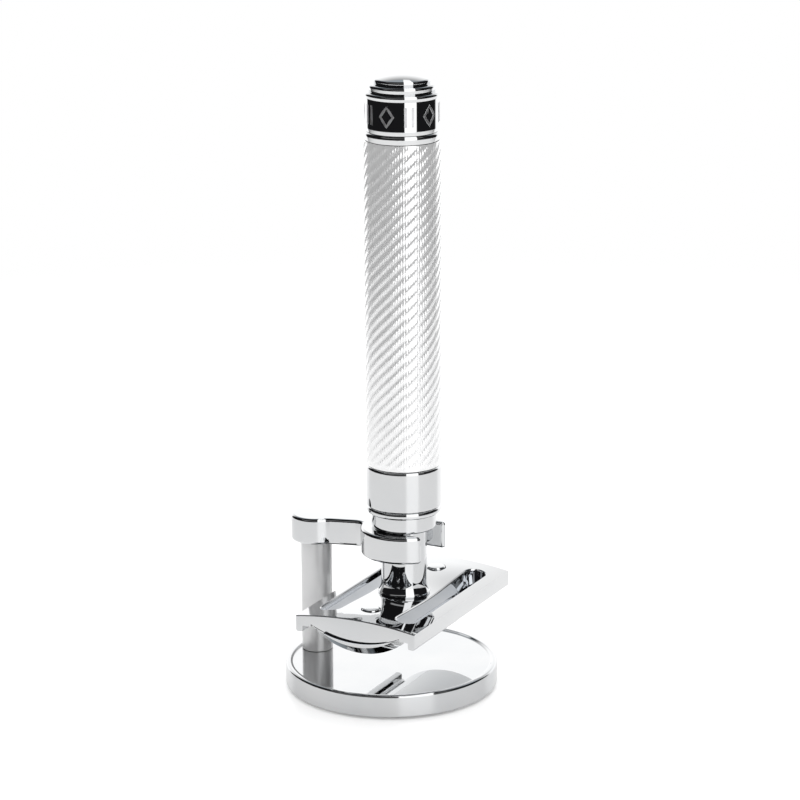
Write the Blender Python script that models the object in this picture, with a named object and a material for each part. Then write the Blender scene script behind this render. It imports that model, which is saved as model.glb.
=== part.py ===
"""Double-edge safety razor hanging head down in its round stand.

The frame: the origin is the centre of the stand's underside, +Z is up, +X runs from the
post towards the fork's open mouth, and +Y runs along the razor head.
"""
from math import asin, atan2, cos, pi, radians, sin, sqrt

import bmesh
import bpy

MM = 0.001
GAP = 0.3 * MM  # left between pieces that touch on the real object

# Where the two upright axes stand
RAZOR_X = 2.9 * MM
POST_X = -16.5 * MM

# Stand
BASE_RADIUS = 20.8 * MM
BASE_BOTTOM = 0.4 * MM
BASE_TOP = 4.85 * MM
BASE_RIM_WIDTH = 1.0 * MM
BASE_FLOOR = 4.5 * MM
BASE_EDGE = 0.4 * MM
PAD_RADIUS = 19.1 * MM
PAD_TOP = 0.9 * MM
POST_RADIUS = 3.05 * MM
ARM_BOTTOM = 27.4 * MM
ARM_TOP = 32.7 * MM
ARM_EDGE = 0.4 * MM
ARM_WAIST = ((-8.8, 1.52), (-9.4, 1.45), (-10.1, 1.55), (-14.6, 2.8), (-15.4, 3.15))  # mm
LOBE_START = 43  # degrees from +X
LOBE_RADIUS = 4.95 * MM
FORK_RADIUS = 8.5 * MM
FORK_SLOT_HALF = 4.8 * MM

# Metric screws
M3_RADIUS = 1.5 * MM
M3_HEAD_RADIUS = 2.4 * MM
M3_KEY_RADIUS = 1.15 * MM
M5_RADIUS = 2.45 * MM
STUD_TIP = 0.4 * MM
SMALL_TIP = 0.2 * MM
DRILL_ROOM = 1.0 * MM  # left past a screw's end

# Handle
HANDLE_RADIUS = 7.25 * MM
NECK_RADIUS = 4.45 * MM
FOOT_RADIUS = 5.05 * MM
FOOT_BOTTOM = 19.4 * MM
FOOT_TOP = 19.9 * MM
FLARE_TOP = 22.0 * MM
SHOULDER_RADIUS = 6.3 * MM
SHOULDER_BOTTOM = ARM_TOP + GAP
SHOULDER_TOP = 35.6 * MM
SHOULDER_EDGE = 0.6 * MM
SPIGOT_RADIUS = 5.0 * MM
COLLAR_BOTTOM = SHOULDER_TOP + GAP
COLLAR_TOP = 45.2 * MM
SEAL_THICKNESS = 0.4 * MM
GRIP_BOTTOM = COLLAR_TOP + SEAL_THICKNESS + 2 * GAP
GRIP_TOP = 108.1 * MM
GRIP_BORE = 6.1 * MM
BEAD_BOTTOM = GRIP_TOP + SEAL_THICKNESS + 2 * GAP
BEAD_TOP = 110.75 * MM
BAND_BOTTOM = BEAD_TOP + GAP
BAND_TOP = 116.85 * MM
BAND_RADIUS = 7.0 * MM
END_CAP_BOTTOM = BAND_TOP + GAP
STEP_1_TOP = 118.2 * MM
STEP_2_RADIUS = 6.47 * MM
STEP_2_TOP = 119.65 * MM
STEP_3_RADIUS = 5.44 * MM
DOME_EDGE = 120.6 * MM
DOME_TOP = 121.45 * MM
HANDLE_EDGE = 0.3 * MM

# Head
HEAD_HALF_LENGTH = 20.9 * MM
PLATE_HALF_WIDTH = 12.7 * MM
PLATE_CROWN = 20.0 * MM
PLATE_CORNER = 18.95 * MM
PLATE_SEAT = FOOT_BOTTOM - GAP
PLATE_SEAT_RADIUS = 5.4 * MM
BED_HALF_WIDTH = 9.5 * MM
WEB_SCOOP = 0.7 * MM
WEB_SCOOP_HALF_LENGTH = 18.0 * MM
RINSE_SLOT_X = 8.1 * MM
RINSE_SLOT_HALF_WIDTH = 2.05 * MM
RINSE_SLOT_HALF_LENGTH = 17.0 * MM
PIN_Y = 14.0 * MM
PIN_RADIUS = 1.8 * MM
PIN_TOP = 20.2 * MM
BAR_WIDTH = 1.4 * MM
BAR_BOTTOM = 17.2 * MM
BAR_EDGE = 0.3 * MM
BAR_RELIEF = 18.5 * MM
BLADE_LENGTH = 43.0 * MM
BLADE_WIDTH = 22.0 * MM
BLADE_THICKNESS = 0.1 * MM
BLADE_BEND_RADIUS = 22.0 * MM
BLADE_LOWEST = 15.45 * MM
BLADE_TAB_HALF_WIDTH = 6.5 * MM
BLADE_BODY_LENGTH = 37.3 * MM
BLADE_SLOT_HALF_WIDTH = 1.0 * MM
BLADE_SLOT_HALF_LENGTH = 17.0 * MM
BLADE_HOLE_PLAY = 0.4 * MM
CAP_CROWN = 12.8 * MM
CAP_RADIUS = 15.0 * MM
CAP_HALF_WIDTH = 10.15 * MM

# Sides of round pieces
BASE_SIDES = 64
HANDLE_SIDES = 40
SMALL_SIDES = 24
WELD = 0.0001 * MM


def look(name, colour, roughness, metallic):
    """A plain Principled material."""
    made = bpy.data.materials.new(name)
    made.use_nodes = True
    shader = made.node_tree.nodes["Principled BSDF"]
    shader.inputs["Base Color"].default_value = (*colour, 1.0)
    shader.inputs["Roughness"].default_value = roughness
    shader.inputs["Metallic"].default_value = metallic
    return made


def tidied(shape, name):
    """The mesh of a bmesh shape, welded and with its faces pointing out."""
    bmesh.ops.remove_doubles(shape, verts=shape.verts, dist=WELD)
    bmesh.ops.recalc_face_normals(shape, faces=shape.faces)
    mesh = bpy.data.meshes.new(name)
    shape.to_mesh(mesh)
    shape.free()
    return mesh


def piece(name, shape, finish, parent, axis_x=0.0):
    """Makes one sub-part; axis_x is the upright axis that its shape is drawn about."""
    mesh = tidied(shape, name)
    mesh.shade_smooth()
    mesh.set_sharp_from_angle(angle=radians(30))
    made = bpy.data.objects.new(name, mesh)
    made.data.materials.append(look(name, *finish))
    made.location.x = axis_x
    made.parent = parent
    bpy.context.scene.collection.objects.link(made)
    return made


def cut(target, shape):
    """Cuts a shape, drawn about the target's own axis, out of the target."""
    cutter = bpy.data.objects.new(target.name + "_cutter", tidied(shape, target.name + "_cutter"))
    cutter.location = target.location
    cutter.parent = target.parent
    cutter.hide_render = True
    cutter.display_type = "WIRE"
    bpy.context.scene.collection.objects.link(cutter)
    boolean = target.modifiers.new("holes", "BOOLEAN")
    boolean.operation = "DIFFERENCE"
    boolean.object = cutter


def group(name):
    """An empty that carries the pieces of one moving body."""
    made = bpy.data.objects.new(name, None)
    made.empty_display_size = 5 * MM
    bpy.context.scene.collection.objects.link(made)
    return made


def add_turned(shape, outline, sides, centre=(0.0, 0.0)):
    """Spins an outline of (radius, height) about an upright axis.

    An outline that starts off the axis is closed, which makes a ring.
    """
    profile = []
    for radius, height in outline:
        profile.append(shape.verts.new((centre[0] + radius, centre[1], height)))
    edges = [shape.edges.new(ends) for ends in zip(profile, profile[1:])]
    if outline[0][0] > 0.0:
        edges.append(shape.edges.new((profile[-1], profile[0])))
    bmesh.ops.spin(
        shape,
        geom=profile + edges,
        cent=(centre[0], centre[1], 0.0),
        axis=(0.0, 0.0, 1.0),
        angle=2 * pi,
        steps=sides,
        use_merge=True,
    )
    return shape


def add_prism(shape, corners, sweep):
    """Extrudes a closed outline of 3-D corners along the vector sweep."""
    face = shape.faces.new([shape.verts.new(corner) for corner in corners])
    swept = bmesh.ops.extrude_face_region(shape, geom=[face])
    moved = [item for item in swept["geom"] if isinstance(item, bmesh.types.BMVert)]
    bmesh.ops.translate(shape, verts=moved, vec=sweep)
    return shape


def add_upright(shape, outline, bottom, top):
    """Extrudes an outline of (x, y) from bottom to top."""
    return add_prism(shape, [(x, y, bottom) for x, y in outline], (0.0, 0.0, top - bottom))


def add_lengthwise(shape, section, half_length):
    """Extrudes a section of (x, z) along the head, to half_length on each side."""
    corners = [(x, -half_length, z) for x, z in section]
    return add_prism(shape, corners, (0.0, 2 * half_length, 0.0))


def add_skin(shape, sections):
    """Skins a row of closed sections, which have the same number of corners, and caps its ends."""
    rows = []
    for section in sections:
        rows.append([shape.verts.new(corner) for corner in section])
    for row, following in zip(rows, rows[1:]):
        for place in range(len(row)):
            shape.faces.new((row[place - 1], row[place], following[place], following[place - 1]))
    shape.faces.new(rows[0])
    shape.faces.new(rows[-1])
    return shape


def turned(outline, sides=HANDLE_SIDES):
    return add_turned(bmesh.new(), outline, sides)


def rod(radius, bottom, top, edge=0.0):
    """Half section of a rod, with its two edges chamfered where edge is given."""
    if edge == 0.0:
        return [(0.0, bottom), (radius, bottom), (radius, top), (0.0, top)]
    return [
        (0.0, bottom),
        (radius - edge, bottom),
        (radius, bottom + edge),
        (radius, top - edge),
        (radius - edge, top),
        (0.0, top),
    ]


def ring(bore, radius, bottom, top, edge=0.0):
    """Section of a ring: a rod's outline with its ends moved out to the bore."""
    return [(max(r, bore), z) for r, z in rod(radius, bottom, top, edge)]


def arc(centre, radius, start, end, steps):
    """Points on an arc from start to end, in degrees."""
    points = []
    for step in range(steps + 1):
        angle = radians(start + (end - start) * step / steps)
        points.append((centre[0] + radius * cos(angle), centre[1] + radius * sin(angle)))
    return points


def bowl(x, lowest, radius):
    """Height at x of an arc whose lowest point is on the head's centre line."""
    return lowest + radius - sqrt(radius * radius - x * x)


def spread(half_width, steps):
    """Evenly spaced places from -half_width to half_width."""
    return [half_width * (2 * step / steps - 1) for step in range(steps + 1)]


CHROME = ((0.86, 0.87, 0.88), 0.06, 1.0)
SATIN_CHROME = ((0.78, 0.79, 0.80), 0.28, 1.0)
STEEL = ((0.60, 0.61, 0.63), 0.22, 1.0)
ZINC_STEEL = ((0.52, 0.53, 0.54), 0.35, 1.0)
BRASS = ((0.78, 0.60, 0.28), 0.30, 1.0)
RUBBER = ((0.02, 0.02, 0.02), 0.80, 0.0)


# Stand

SCREW_HEAD_BOTTOM = 1.35 * MM
SCREW_HEAD_TOP = 2.8 * MM
SCREW_TOP = 13.0 * MM
STUD_BOTTOM = 20.5 * MM
STUD_TOP = 31.0 * MM
POST_BOTTOM = BASE_FLOOR + GAP
POST_TOP = ARM_BOTTOM - GAP


def stand_base(parent):
    recess_radius = PAD_RADIUS + GAP
    recess_top = PAD_TOP + GAP
    floor_radius = BASE_RADIUS - BASE_RIM_WIDTH
    outline = [
        (0.0, recess_top),
        (recess_radius, recess_top),
        (recess_radius, BASE_BOTTOM),
        (BASE_RADIUS - BASE_EDGE, BASE_BOTTOM),
        (BASE_RADIUS, BASE_BOTTOM + BASE_EDGE),
        (BASE_RADIUS, BASE_TOP - BASE_EDGE),
        (BASE_RADIUS - BASE_EDGE, BASE_TOP),
        (floor_radius + BASE_EDGE / 2, BASE_TOP),
        (floor_radius, BASE_FLOOR),
        (0.0, BASE_FLOOR),
    ]
    base = piece("stand_base", turned(outline, BASE_SIDES), CHROME, parent)
    head_well = SCREW_HEAD_TOP + GAP
    screw_way = [
        (0.0, 0.0),
        (M3_HEAD_RADIUS + GAP, 0.0),
        (M3_HEAD_RADIUS + GAP, head_well),
        (M3_RADIUS + GAP, head_well),
        (M3_RADIUS + GAP, BASE_TOP),
        (0.0, BASE_TOP),
    ]
    cut(base, add_turned(bmesh.new(), screw_way, SMALL_SIDES, (POST_X, 0.0)))


def base_pad(parent):
    piece("base_pad", turned(rod(PAD_RADIUS, 0.0, PAD_TOP), BASE_SIDES), RUBBER, parent)


def post_screw(parent):
    outline = [
        (0.0, SCREW_HEAD_BOTTOM),
        (M3_HEAD_RADIUS, SCREW_HEAD_BOTTOM),
        (M3_HEAD_RADIUS, SCREW_HEAD_TOP),
        (M3_RADIUS, SCREW_HEAD_TOP),
        (M3_RADIUS, SCREW_TOP),
        (0.0, SCREW_TOP),
    ]
    screw = piece("post_screw", turned(outline, SMALL_SIDES), ZINC_STEEL, parent, POST_X)
    key = rod(M3_KEY_RADIUS, 0.0, (SCREW_HEAD_BOTTOM + SCREW_HEAD_TOP) / 2)
    cut(screw, turned(key, 6))


def stand_post(parent):
    post = piece("stand_post", turned(rod(POST_RADIUS, POST_BOTTOM, POST_TOP)), CHROME, parent, POST_X)
    thread_radius = M3_RADIUS + GAP
    holes = add_turned(bmesh.new(), rod(thread_radius, 0.0, SCREW_TOP + DRILL_ROOM), SMALL_SIDES)
    add_turned(holes, rod(thread_radius, STUD_BOTTOM - GAP, ARM_TOP), SMALL_SIDES)
    cut(post, holes)


def arm_stud(parent):
    stud = turned(rod(M3_RADIUS, STUD_BOTTOM, STUD_TOP, SMALL_TIP), SMALL_SIDES)
    piece("arm_stud", stud, ZINC_STEEL, parent, POST_X)


def arm_outline():
    """Fork, waist and lobe, drawn about the razor's axis."""
    reach = RAZOR_X - POST_X
    mouth_angle = asin(FORK_SLOT_HALF / FORK_RADIUS) * 180 / pi
    half = arc((0.0, 0.0), FORK_SLOT_HALF, 180, 90, 12)
    half += arc((0.0, 0.0), FORK_RADIUS, mouth_angle, 168, 20)
    half += [(x * MM, y * MM) for x, y in ARM_WAIST]
    half += arc((-reach, 0.0), LOBE_RADIUS, LOBE_START, 180, 14)
    lower = [(x, -y) for x, y in reversed(half[1:-1])]
    return half + lower


def stand_arm(parent):
    shape = add_upright(bmesh.new(), arm_outline(), ARM_BOTTOM, ARM_TOP)
    rims = [edge for edge in shape.edges if abs(edge.verts[0].co.z - edge.verts[1].co.z) < WELD]
    bmesh.ops.bevel(shape, geom=rims, offset=ARM_EDGE, segments=1, affect="EDGES")
    arm = piece("stand_arm", shape, CHROME, parent, RAZOR_X)
    blind_hole = rod(M3_RADIUS + GAP, POST_BOTTOM, STUD_TOP + GAP)
    cut(arm, add_turned(bmesh.new(), blind_hole, SMALL_SIDES, (POST_X - RAZOR_X, 0.0)))


# Handle

INSERT_RADIUS = 3.5 * MM
INSERT_BORE = M5_RADIUS + GAP
INSERT_BOTTOM = 20.2 * MM
INSERT_TOP = 31.0 * MM
NECK_BORE = INSERT_RADIUS + GAP
NECK_BORE_TOP = INSERT_TOP + GAP
SPIGOT_TOP = 52.0 * MM
CORE_RADIUS = 2.5 * MM
CORE_BOTTOM = 38.5 * MM
CORE_TOP = 113.0 * MM
END_SPIGOT_BOTTOM = 101.0 * MM


def neck(parent):
    flare = []
    for step in range(1, 5):
        rise = step / 4
        radius = NECK_RADIUS + (FOOT_RADIUS - NECK_RADIUS) * (1 - rise) ** 3
        flare.append((radius, FOOT_TOP + (FLARE_TOP - FOOT_TOP) * rise))
    outline = [
        (NECK_BORE, FOOT_BOTTOM),
        (FOOT_RADIUS, FOOT_BOTTOM),
        (FOOT_RADIUS, FOOT_TOP),
        *flare,
        (NECK_RADIUS, SHOULDER_BOTTOM),
        (SHOULDER_RADIUS - SHOULDER_EDGE, SHOULDER_BOTTOM),
        (SHOULDER_RADIUS, SHOULDER_BOTTOM + SHOULDER_EDGE),
        (SHOULDER_RADIUS, SHOULDER_TOP),
        (SPIGOT_RADIUS, SHOULDER_TOP),
        (SPIGOT_RADIUS, SPIGOT_TOP),
        (CORE_RADIUS + GAP, SPIGOT_TOP),
        (CORE_RADIUS + GAP, CORE_BOTTOM - GAP),
        (0.0, CORE_BOTTOM - GAP),
        (0.0, NECK_BORE_TOP),
        (NECK_BORE, NECK_BORE_TOP),
    ]
    from_axis = outline[-2:] + outline[:-2]
    piece("neck", turned(from_axis), CHROME, parent, RAZOR_X)


def thread_insert(parent):
    outline = ring(INSERT_BORE, INSERT_RADIUS, INSERT_BOTTOM, INSERT_TOP)
    piece("thread_insert", turned(outline, SMALL_SIDES), BRASS, parent, RAZOR_X)


def handle_core(parent):
    outline = rod(CORE_RADIUS, CORE_BOTTOM, CORE_TOP, HANDLE_EDGE)
    piece("handle_core", turned(outline, SMALL_SIDES), ZINC_STEEL, parent, RAZOR_X)


def handle_ring(name, radius, bottom, top, finish, parent, bore=SPIGOT_RADIUS + GAP, edge=HANDLE_EDGE):
    """One of the rings threaded on the handle between the neck and the end cap."""
    piece(name, turned(ring(bore, radius, bottom, top, edge)), finish, parent, RAZOR_X)


def handle_rings(parent):
    seal_radius = HANDLE_RADIUS - HANDLE_EDGE
    handle_ring("handle_collar", HANDLE_RADIUS, COLLAR_BOTTOM, COLLAR_TOP, CHROME, parent)
    lower_seal = COLLAR_TOP + GAP
    handle_ring(
        "grip_seal_lower", seal_radius, lower_seal, lower_seal + SEAL_THICKNESS, RUBBER, parent, edge=0.0
    )
    handle_ring("grip_sleeve", HANDLE_RADIUS, GRIP_BOTTOM, GRIP_TOP, SATIN_CHROME, parent, GRIP_BORE)
    upper_seal = GRIP_TOP + GAP
    handle_ring(
        "grip_seal_upper", seal_radius, upper_seal, upper_seal + SEAL_THICKNESS, RUBBER, parent, edge=0.0
    )
    handle_ring("bead_ring", HANDLE_RADIUS, BEAD_BOTTOM, BEAD_TOP, CHROME, parent)
    handle_ring("end_band", BAND_RADIUS, BAND_BOTTOM, BAND_TOP, CHROME, parent, edge=0.0)


def end_cap(parent):
    dome_rise = DOME_TOP - DOME_EDGE
    dome_radius = (STEP_3_RADIUS**2 + dome_rise**2) / (2 * dome_rise)
    spread_angle = atan2(STEP_3_RADIUS, dome_radius - dome_rise) * 180 / pi
    dome = arc((0.0, DOME_TOP - dome_radius), dome_radius, 90 - spread_angle, 90, 5)
    blind_hole_top = CORE_TOP + GAP
    outline = [
        (0.0, blind_hole_top),
        (CORE_RADIUS + GAP, blind_hole_top),
        (CORE_RADIUS + GAP, END_SPIGOT_BOTTOM),
        (SPIGOT_RADIUS, END_SPIGOT_BOTTOM),
        (SPIGOT_RADIUS, END_CAP_BOTTOM),
        (HANDLE_RADIUS, END_CAP_BOTTOM),
        (HANDLE_RADIUS, STEP_1_TOP - HANDLE_EDGE),
        (HANDLE_RADIUS - HANDLE_EDGE, STEP_1_TOP),
        (STEP_2_RADIUS, STEP_1_TOP),
        (STEP_2_RADIUS, STEP_2_TOP - HANDLE_EDGE),
        (STEP_2_RADIUS - HANDLE_EDGE, STEP_2_TOP),
        (STEP_3_RADIUS, STEP_2_TOP),
    ]
    outline += dome[:-1] + [(0.0, DOME_TOP)]
    piece("end_cap", turned(outline), CHROME, parent, RAZOR_X)


# Head

BLADE_CLEARANCE = BLADE_THICKNESS / 2 + GAP
HOLE_FLOOR = CAP_CROWN + 1.0 * MM
STUD_HOLE_RADIUS = M5_RADIUS + GAP
PIN_HOLE_RADIUS = PIN_RADIUS + GAP
STUD_END = 29.6 * MM
HEAD_CLEAR_TOP = 25.0 * MM
HEAD_CLEAR_BOTTOM = 10.0 * MM


def blade_height(x):
    return bowl(x, BLADE_LOWEST, BLADE_BEND_RADIUS)


def web_scoop(y):
    """Depth of the shallow lengthwise hollow in the web between the two rinse slots."""
    if abs(y) > WEB_SCOOP_HALF_LENGTH:
        return 0.0
    return WEB_SCOOP * (1 + cos(pi * y / WEB_SCOOP_HALF_LENGTH)) / 2


def base_plate(parent):
    crown_rise = PLATE_CROWN - PLATE_CORNER
    crown_radius = (PLATE_HALF_WIDTH**2 + crown_rise**2) / (2 * crown_rise)
    crown_centre = PLATE_CROWN - crown_radius
    top = [(x, crown_centre + sqrt(crown_radius**2 - x * x)) for x in spread(PLATE_HALF_WIDTH, 12)]
    bed = [(x, blade_height(x) + BLADE_CLEARANCE) for x in spread(BED_HALF_WIDTH, 12)]
    bar_inner = PLATE_HALF_WIDTH - BAR_WIDTH
    right = [
        (BED_HALF_WIDTH, BAR_RELIEF),
        (bar_inner, BAR_RELIEF),
        (bar_inner, BAR_BOTTOM + BAR_EDGE),
        (bar_inner + BAR_EDGE, BAR_BOTTOM),
        (PLATE_HALF_WIDTH - BAR_EDGE, BAR_BOTTOM),
        (PLATE_HALF_WIDTH, BAR_BOTTOM + BAR_EDGE),
    ]
    left = [(-x, z) for x, z in reversed(right)]
    underside = left + bed + right
    sections = []
    for y in spread(HEAD_HALF_LENGTH, 16):
        corners = [(x, y, z) for x, z in underside]
        for x, z in reversed(top):
            lowered = web_scoop(y) if abs(x) < RINSE_SLOT_X else 0.0
            corners.append((x, y, z - lowered))
        sections.append(corners)
    plate = piece("base_plate", add_skin(bmesh.new(), sections), CHROME, parent, RAZOR_X)
    centre_hole = [
        (0.0, HEAD_CLEAR_BOTTOM),
        (STUD_HOLE_RADIUS, HEAD_CLEAR_BOTTOM),
        (STUD_HOLE_RADIUS, PLATE_SEAT),
        (PLATE_SEAT_RADIUS, PLATE_SEAT),
        (PLATE_SEAT_RADIUS, HEAD_CLEAR_TOP),
        (0.0, HEAD_CLEAR_TOP),
    ]
    holes = add_turned(bmesh.new(), centre_hole, HANDLE_SIDES)
    straight = RINSE_SLOT_HALF_LENGTH - RINSE_SLOT_HALF_WIDTH
    for side in (-1, 1):
        pin_hole = rod(PIN_HOLE_RADIUS, HEAD_CLEAR_BOTTOM, HEAD_CLEAR_TOP)
        add_turned(holes, pin_hole, SMALL_SIDES, (0.0, side * PIN_Y))
        slot_x = side * RINSE_SLOT_X
        slot = arc((slot_x, straight), RINSE_SLOT_HALF_WIDTH, 0, 180, 8)
        slot += arc((slot_x, -straight), RINSE_SLOT_HALF_WIDTH, 180, 360, 8)
        add_upright(holes, slot, HEAD_CLEAR_BOTTOM, HEAD_CLEAR_TOP)
    cut(plate, holes)


def blade_slot():
    """The blade's long slot, which widens round the stud and the two pins."""
    pin_lobe = PIN_RADIUS + BLADE_HOLE_PLAY
    lobes = [(-PIN_Y, pin_lobe), (0.0, M5_RADIUS + BLADE_HOLE_PLAY), (PIN_Y, pin_lobe)]
    right = []
    for y in spread(BLADE_SLOT_HALF_LENGTH, 68):
        width = BLADE_SLOT_HALF_WIDTH
        for centre, radius in lobes:
            if abs(y - centre) < radius:
                width = max(width, sqrt(radius**2 - (y - centre) ** 2))
        right.append((width, y))
    return right + [(-x, y) for x, y in reversed(right)]


def blade(parent):
    half_bend = BLADE_WIDTH / (2 * BLADE_BEND_RADIUS)
    bends = [half_bend * place for place in spread(1.0, 12)]
    section = []
    for radius, angles in (
        (BLADE_BEND_RADIUS + BLADE_THICKNESS / 2, bends),
        (BLADE_BEND_RADIUS - BLADE_THICKNESS / 2, list(reversed(bends))),
    ):
        for angle in angles:
            height = BLADE_LOWEST + BLADE_BEND_RADIUS - radius * cos(angle)
            section.append((radius * sin(angle), height))
    made = piece("blade", add_lengthwise(bmesh.new(), section, BLADE_LENGTH / 2), STEEL, parent, RAZOR_X)
    openings = add_upright(bmesh.new(), blade_slot(), HEAD_CLEAR_BOTTOM, HEAD_CLEAR_TOP)
    for side in (-1, 1):
        for end in (-1, 1):
            inner_x = side * BLADE_TAB_HALF_WIDTH
            outer_x = side * BLADE_WIDTH
            inner_y = end * BLADE_BODY_LENGTH / 2
            outer_y = end * BLADE_LENGTH
            corner = [(inner_x, inner_y), (outer_x, inner_y), (outer_x, outer_y), (inner_x, outer_y)]
            add_upright(openings, corner, HEAD_CLEAR_BOTTOM, HEAD_CLEAR_TOP)
    cut(made, openings)


def cap(parent):
    places = spread(CAP_HALF_WIDTH, 16)
    crown = [(x, bowl(x, CAP_CROWN, CAP_RADIUS)) for x in places]
    seat = [(x, blade_height(x) - BLADE_CLEARANCE) for x in reversed(places)]
    made = piece("cap", add_lengthwise(bmesh.new(), crown + seat, HEAD_HALF_LENGTH), CHROME, parent, RAZOR_X)
    holes = add_turned(bmesh.new(), rod(STUD_HOLE_RADIUS, HOLE_FLOOR, HEAD_CLEAR_TOP), SMALL_SIDES)
    for side in (-1, 1):
        pin_hole = rod(PIN_HOLE_RADIUS, HOLE_FLOOR, HEAD_CLEAR_TOP)
        add_turned(holes, pin_hole, SMALL_SIDES, (0.0, side * PIN_Y))
    cut(made, holes)


def cap_stud(parent):
    stud = turned(rod(M5_RADIUS, HOLE_FLOOR + GAP, STUD_END, STUD_TIP), SMALL_SIDES)
    piece("cap_stud", stud, CHROME, parent, RAZOR_X)


def alignment_pins(parent):
    for name, side in (("alignment_pin_front", -1), ("alignment_pin_back", 1)):
        outline = rod(PIN_RADIUS, HOLE_FLOOR + GAP, PIN_TOP, SMALL_TIP)
        pin = add_turned(bmesh.new(), outline, SMALL_SIDES, (0.0, side * PIN_Y))
        piece(name, pin, CHROME, parent, RAZOR_X)


def clear_scene():
    for item in list(bpy.data.objects):
        bpy.data.objects.remove(item, do_unlink=True)


def build():
    clear_scene()
    stand = group("stand_group")
    for make in (stand_base, base_pad, post_screw, stand_post, arm_stud, stand_arm):
        make(stand)
    plate = group("plate_group")
    plate.parent = stand
    base_plate(plate)
    handle = group("handle_group")
    handle.parent = plate
    for make in (neck, thread_insert, handle_core, handle_rings, end_cap):
        make(handle)
    loose_blade = group("blade_group")
    loose_blade.parent = plate
    blade(loose_blade)
    cap_group = group("cap_group")
    cap_group.parent = plate
    for make in (cap, cap_stud, alignment_pins):
        make(cap_group)


build()
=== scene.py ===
"""Looks of the double-edge safety razor on its stand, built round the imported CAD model."""

from math import asin, ceil, cos, pi, radians, sin, sqrt, tan

import bmesh
import bpy
import numpy as np
from mathutils import Matrix, Vector


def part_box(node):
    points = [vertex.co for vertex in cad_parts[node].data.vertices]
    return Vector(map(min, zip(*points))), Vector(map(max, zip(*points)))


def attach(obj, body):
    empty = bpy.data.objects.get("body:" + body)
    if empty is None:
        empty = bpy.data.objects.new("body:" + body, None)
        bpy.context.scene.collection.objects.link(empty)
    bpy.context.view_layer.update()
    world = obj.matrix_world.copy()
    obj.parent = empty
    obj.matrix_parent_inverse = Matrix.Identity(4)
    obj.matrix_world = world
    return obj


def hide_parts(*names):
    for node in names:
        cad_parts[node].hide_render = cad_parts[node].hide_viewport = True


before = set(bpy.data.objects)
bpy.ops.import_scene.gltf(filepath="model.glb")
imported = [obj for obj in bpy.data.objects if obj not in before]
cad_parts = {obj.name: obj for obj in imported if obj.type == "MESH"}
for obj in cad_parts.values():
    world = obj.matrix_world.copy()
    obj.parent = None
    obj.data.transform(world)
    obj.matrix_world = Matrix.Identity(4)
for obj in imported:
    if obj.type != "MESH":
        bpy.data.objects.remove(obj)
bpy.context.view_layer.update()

MM = 0.001
SEAM = 0.02 * MM  # left between pieces that touch
TOUCH = 0.3 * MM  # the CAD model's gap between pieces that touch
SHARP = radians(32)  # an edge that turns more than this stays crisp
CAMERA_AZIMUTH = radians(27.0)  # from -Y towards +X, as seen from above
CAMERA_ELEVATION = radians(15.948)


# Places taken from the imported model

def centre_of(node):
    low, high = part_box(node)
    return (low.x + high.x) / 2, (low.y + high.y) / 2


def bottom_of(node):
    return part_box(node)[0].z


def top_of(node):
    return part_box(node)[1].z


def radius_of(node):
    low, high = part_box(node)
    return (high.y - low.y) / 2


RAZOR = centre_of("grip_sleeve")
POST = centre_of("stand_post")


# Shaders

def node_tree(name):
    material = bpy.data.materials.new(name)
    material.use_nodes = True
    nodes = material.node_tree.nodes
    return material, nodes, material.node_tree.links, nodes["Principled BSDF"]


def noise(nodes, links, place, scale, detail):
    made = nodes.new("ShaderNodeTexNoise")
    made.inputs["Scale"].default_value = scale
    made.inputs["Detail"].default_value = detail
    links.new(place, made.inputs["Vector"])
    return made.outputs["Fac"]


def remapped(nodes, links, value, low, high):
    """Spreads the middle of a noise's values from low to high."""
    made = nodes.new("ShaderNodeMapRange")
    made.inputs["From Min"].default_value = 0.35
    made.inputs["From Max"].default_value = 0.65
    made.inputs["To Min"].default_value = low
    made.inputs["To Max"].default_value = high
    links.new(value, made.inputs["Value"])
    return made.outputs["Result"]


def stretched(nodes, links, place, scale):
    made = nodes.new("ShaderNodeMapping")
    made.inputs["Scale"].default_value = scale
    links.new(place, made.inputs["Vector"])
    return made.outputs["Vector"]


def metal(name, light, dark, roughness, wave=0.0, stretch=(1.0, 1.0, 1.0), grain=900.0, metallic=1.0):
    """Metal whose colour and gloss drift with handling, with a fine grain in its surface.

    light and dark are the colours that it drifts between, roughness its two ends of gloss,
    wave the depth of the grain in metres, and stretch draws the grain out along an axis.
    """
    material, nodes, links, shader = node_tree(name)
    place = nodes.new("ShaderNodeTexCoord").outputs["Object"]
    smudges = noise(nodes, links, place, scale=90.0, detail=4.0)
    tint = nodes.new("ShaderNodeMix")
    tint.data_type = "RGBA"
    links.new(remapped(nodes, links, smudges, 0.0, 1.0), tint.inputs["Factor"])
    tint.inputs[6].default_value = (*light, 1.0)
    tint.inputs[7].default_value = (*dark, 1.0)
    links.new(tint.outputs[2], shader.inputs["Base Color"])
    drawn = stretched(nodes, links, place, stretch)
    fine = noise(nodes, links, drawn, grain, detail=3.0)
    links.new(remapped(nodes, links, fine, *roughness), shader.inputs["Roughness"])
    shader.inputs["Metallic"].default_value = metallic
    if wave > 0.0:
        bump = nodes.new("ShaderNodeBump")
        bump.inputs["Strength"].default_value = 1.0
        bump.inputs["Distance"].default_value = wave
        links.new(fine, bump.inputs["Height"])
        links.new(bump.outputs["Normal"], shader.inputs["Normal"])
    return material


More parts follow.
